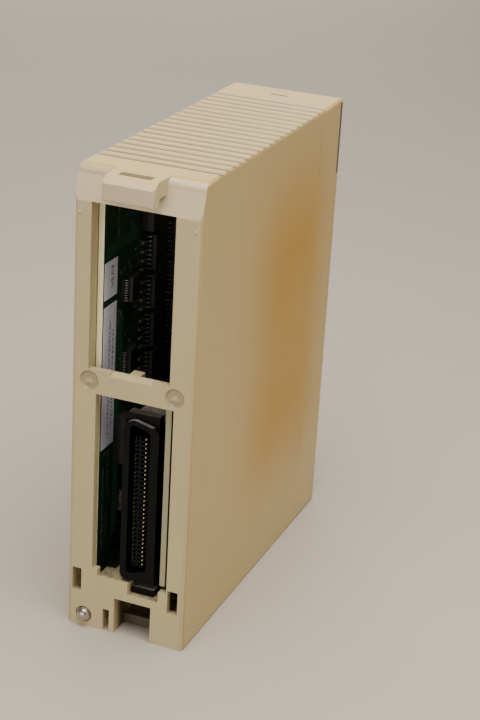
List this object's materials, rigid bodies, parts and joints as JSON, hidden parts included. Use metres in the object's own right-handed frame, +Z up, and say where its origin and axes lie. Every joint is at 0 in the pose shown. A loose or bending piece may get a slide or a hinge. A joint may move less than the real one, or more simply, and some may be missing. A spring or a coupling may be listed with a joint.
{
  "type": "rack-mounted controller module",
  "caption": "Slim plastic rack module for a programmable controller: rear hook, latch notch, bus connector, inner circuit boards and a removable front terminal block.",
  "frame": {"origin": "middle of the bottom of the bounding box, the upper hook included", "axes": "+Z up along the height, +Y out of the rear mounting plane towards the base unit, -Y towards the front, X across the width"},
  "size_m": [0.0344, 0.1066, 0.13],
  "materials": {
    "case_ivory": "fine satin texture, slightly yellowed",
    "smoked_window": "smoked, gloss",
    "clear_guide": "clear, gloss",
    "board_green": "green solder mask over glass fibre laminate",
    "label_white": "paper sticker",
    "black_plastic": "moulded, satin",
    "block_plastic": "moulded, satin",
    "cover_plastic": "smoked, satin gloss",
    "contact_gold": "thin gold plating",
    "plated_steel": "bright plated",
    "insert_brass": "turned brass",
    "switch_blue": "moulded",
    "switch_white": "moulded",
    "lamp_red": "tinted clear resin",
    "capacitor_sleeve": "shrink sleeve",
    "transformer_core": "varnished core and winding",
    "coupler_cream": "moulded",
    "small_parts": "ceramic and resin"
  },
  "bodies": {
    "root": {"main_case": "case_ivory", "front_bezel": "case_ivory", "indicator_window": "smoked_window", "light_guide": "clear_guide", "indicator_board": "board_green", "indicator_lamps": "lamp_red", "unit_switch_body": "switch_blue", "main_board": "board_green", "board_labels": "label_white", "logic_chips": "black_plastic", "chip_leads": "plated_steel", "smoothing_capacitors": "capacitor_sleeve", "isolation_transformer": "transformer_core", "opto_couplers": "coupler_cream", "crystal_and_resistors": "small_parts", "bus_board": "board_green", "bus_driver_chips": "black_plastic", "bus_connector_housing": "black_plastic", "bus_connector_contacts": "contact_gold", "board_link_socket": "black_plastic", "board_link_plug": "black_plastic", "board_link_pins": "contact_gold", "front_link_header": "black_plastic", "locating_pin": "plated_steel", "terminal_board": "board_green", "terminal_header": "black_plastic", "terminal_header_strips": "contact_gold", "screw_inserts": "insert_brass"},
    "switch_rotor": {"unit_switch_rotor": "switch_white"},
    "removable_block": {"terminal_block": "block_plastic", "terminal_plates": "plated_steel", "terminal_screws": "plated_steel", "plug_contacts": "contact_gold", "hinge_pins": "plated_steel"},
    "upper_screw": {"upper_fixing_screw": "plated_steel"},
    "lower_screw": {"lower_fixing_screw": "plated_steel"},
    "cover": {"terminal_cover": "cover_plastic", "cover_label_card": "label_white"}
  },
  "joints": [
    {"name": "block_slide", "type": "slide", "parent": "root", "child": "removable_block", "axis": [0, -1, 0], "range_m": [0, 0.022]},
    {"name": "cover_hinge", "type": "hinge", "parent": "removable_block", "child": "cover", "pos_m": [0.0121, -0.05133, 0.0555], "axis": [0, 0, 1], "range_deg": [0, 95]},
    {"name": "upper_screw_turn", "type": "hinge", "parent": "removable_block", "child": "upper_screw", "pos_m": [0, -0.048, 0.1018], "axis": [0, 1, 0], "continuous": true},
    {"name": "lower_screw_turn", "type": "hinge", "parent": "removable_block", "child": "lower_screw", "pos_m": [0, -0.048, 0.0092], "axis": [0, 1, 0], "continuous": true},
    {"name": "switch_turn", "type": "hinge", "parent": "root", "child": "switch_rotor", "pos_m": [0.0086, -0.0495, 0.117], "axis": [0, 1, 0], "continuous": true}
  ]
}
